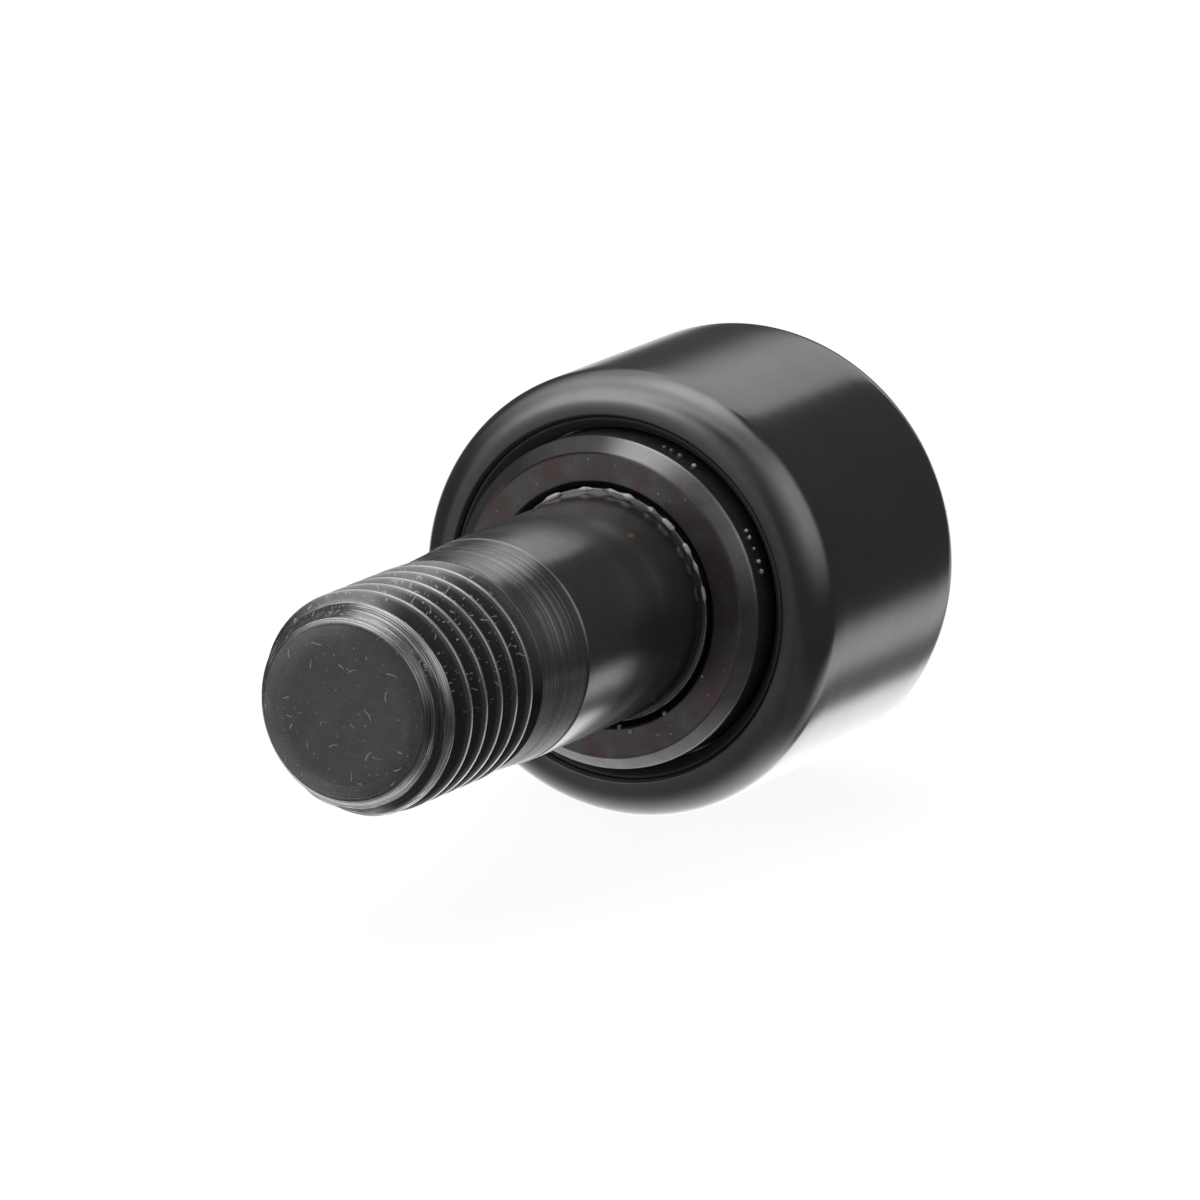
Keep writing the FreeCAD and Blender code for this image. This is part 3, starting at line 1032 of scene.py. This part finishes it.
seal_look = seal_material()
place(build_stud(), "stud", "stud_steel", stud_material(), "stud")
place(build_plate(), "stud", "plate_steel", plate_material(), "end_plate")
place(build_ring(), "roller", "ring_steel", ring_material(), "outer_ring")
place(build_seal("seal_near_body", False), "roller", "seal_rubber", seal_look, "seal_near")
place(build_seal("seal_far_body", True), "roller", "seal_rubber", seal_look, "seal_far")
place(build_bead(), "stud", "plate_steel", bead_material())

looks = {"thrust_washer": washer_material(), "needle_cage": cage_material(),
         "needle_roller": needle_material()}
for name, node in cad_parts.items():
    for prefix, look in looks.items():
        if name.startswith(prefix):
            dress(node, look)

# --- floor -------------------------------------------------------------------------
FLOOR_HALF = 4.0            # metres
FLOOR_GAP = 0.002           # millimetres below the roller
floor_z = -(ROLLER_RADIUS + FLOOR_GAP) * MM
corners = [(x * FLOOR_HALF, y * FLOOR_HALF, floor_z)
           for x, y in ((-1, -1), (1, -1), (1, 1), (-1, 1))]
floor = make_object("floor", corners, [(0, 1, 2, 3)])
dress(floor, floor_material())
floor.visible_glossy = False
floor.visible_diffuse = False

# --- studio light ---------------------------------------------------------------------
# Each light is a patch of directions. turn is the angle round the object's long axis, as
# in Graph.degrees; wy is -1 straight ahead of the tip and 1 straight behind the head.
AMBIENT = 0.095
BACKDROP = 0.99


def overhead_panel(g, turn, wy):
    """The large panel at the upper left, the lamp in it, and their edge on the right."""
    left_lo = g.plus(g.step(wy, 0.1, 0.75, -82.0, -62.0), g.step(wy, -0.88, -0.1, -18.0, 0.0))
    left_hi = g.plus(g.step(wy, 0.1, 0.75, -41.0, -27.0), g.step(wy, -0.88, -0.1, -16.0, 0.0))
    edge_lo = g.plus(g.step(wy, -0.3, 0.75, -12.0, 1.0), g.step(wy, -0.85, -0.35, -26.0, 0.0))
    edge_hi = g.plus(g.step(wy, 0.35, 0.80, 38.0, 6.0), g.step(wy, -0.85, -0.35, -28.0, 0.0))
    gain = g.plus(g.step(wy, 0.0, 0.5, 1.7, 1.0), g.step(wy, -0.62, -0.25, 0.7, 0.0))
    gain = g.times(gain, g.step(wy, -0.98, -0.80))
    panel = g.times(g.step(turn, left_lo, left_hi), gain)
    lamp = g.times(g.step(turn, -34.0, -4.0, 0.0, 1.6), g.band(wy, -0.45, 0.3, 0.45, 0.85))
    return g.times(g.plus(panel, lamp), g.step(turn, edge_lo, edge_hi, 1.0, 0.0))


def right_panel(g, turn, wy):
    """The softer panel at the upper right, in front of the roller."""
    lo = g.step(wy, -0.5, -0.1, 2.0, 18.0)
    panel = g.times(g.band(turn, lo, 52.0, 60.0, 100.0), g.band(wy, -1.05, 0.05, 0.45, 0.8))
    return g.times(panel, 1.2)


def side_strip(g, turn, wy):
    """The narrow strip at the lower right."""
    return g.times(g.band(turn, 118.0, 136.0, 142.0, 158.0), g.step(wy, 0.1, 0.85, 0.1, 1.3))


def low_fill(g, turn, wy):
    """Weak light from below."""
    fill = g.step(g.math("ABSOLUTE", turn), 140.0, 156.0, 0.0, 0.22)
    return g.times(fill, g.step(wy, -0.7, 0.1))


def white_table(g, turn, wy):
    """The white surface under the object, seen from both sides."""
    right_lo = g.step(wy, 0.45, 0.85, 145.0, 168.0)
    right_hi = g.step(wy, 0.45, 0.85, 170.0, 180.0)
    right = g.times(g.step(turn, right_lo, right_hi), 2.2)
    reach = g.times(g.band(wy, -0.85, -0.65, 0.35, 0.75), -18.0)
    near, far = g.plus(reach, -86.0), g.plus(reach, -100.0)
    left = g.plus(g.step(turn, -130.0, near, 1.6, 0.0), g.step(turn, far, near, 0.6, 0.0))
    return g.times(g.plus(right, left), g.step(wy, -0.8, 0.75, 0.05, 1.0))


def front_glow(g, turn, wy):
    """Light from ahead of the tip and the lower left, for the end faces."""
    front = g.step(wy, -0.90, -0.70, 1.0, 0.0)
    return g.times(g.times(front, g.band(turn, -150.0, -128.0, -104.0, -90.0)), 0.44)


def front_fill(g, turn, wy):
    """Weaker light from ahead of the tip and above."""
    front = g.step(wy, -0.90, -0.70, 1.0, 0.0)
    return g.times(g.times(front, g.band(turn, -90.0, -50.0, 10.0, 45.0)), 0.22)


def studio_world():
    """The lights by direction, and a plain bright backdrop where the camera looks past."""
    world = bpy.data.worlds.new("studio")
    world.use_nodes = True
    g = Graph(world.node_tree)
    wx, wy, wz = g.split(g.node("ShaderNodeTexCoord").outputs["Generated"])
    turn = g.degrees(wx, wz)
    light = AMBIENT
    for part in (overhead_panel, right_panel, side_strip, low_fill, white_table,
                 front_glow, front_fill):
        light = g.plus(part(g, turn, wy), light)
    studio = g.node("ShaderNodeBackground")
    g.put(studio.inputs["Strength"], light)
    backdrop = g.node("ShaderNodeBackground")
    g.fill(backdrop, (1.0, 1.0, 1.0, 1.0), BACKDROP)
    path = g.node("ShaderNodeLightPath")
    both = g.fill(g.node("ShaderNodeMixShader"), path.outputs["Is Camera Ray"],
                  studio.outputs[0], backdrop.outputs[0])
    g.put(g.node("ShaderNodeOutputWorld").inputs["Surface"], both)
    return world


scene = bpy.context.scene
scene.world = studio_world()
scene.view_settings.view_transform = "Standard"
scene.view_settings.look = "None"

# --- camera ---------------------------------------------------------------------------
AZIMUTH = math.radians(27.83)
ELEVATION = math.radians(12.64)
SENSOR_WIDTH = 36.0
LENS = 386.64
# the origin as the camera sees it: millimetres to the right, up and away
ORIGIN_SEEN = Vector((0.0236, -0.1782, 446.73))
CLIP = (0.01, 50.0)

right = Vector((math.cos(AZIMUTH), math.sin(AZIMUTH), 0.0))
back = Vector((math.sin(AZIMUTH) * math.cos(ELEVATION),
               -math.cos(AZIMUTH) * math.cos(ELEVATION), math.sin(ELEVATION)))
up = back.cross(right)
origin_seen = ORIGIN_SEEN * MM
camera_data = bpy.data.cameras.new("camera")
camera_data.sensor_width = SENSOR_WIDTH
camera_data.lens = LENS
camera_data.clip_start, camera_data.clip_end = CLIP
camera = bpy.data.objects.new("camera", camera_data)
scene.collection.objects.link(camera)
camera.location = back * origin_seen.z - right * origin_seen.x - up * origin_seen.y
camera.rotation_euler = back.to_track_quat("Z", "Y").to_euler()
scene.camera = camera
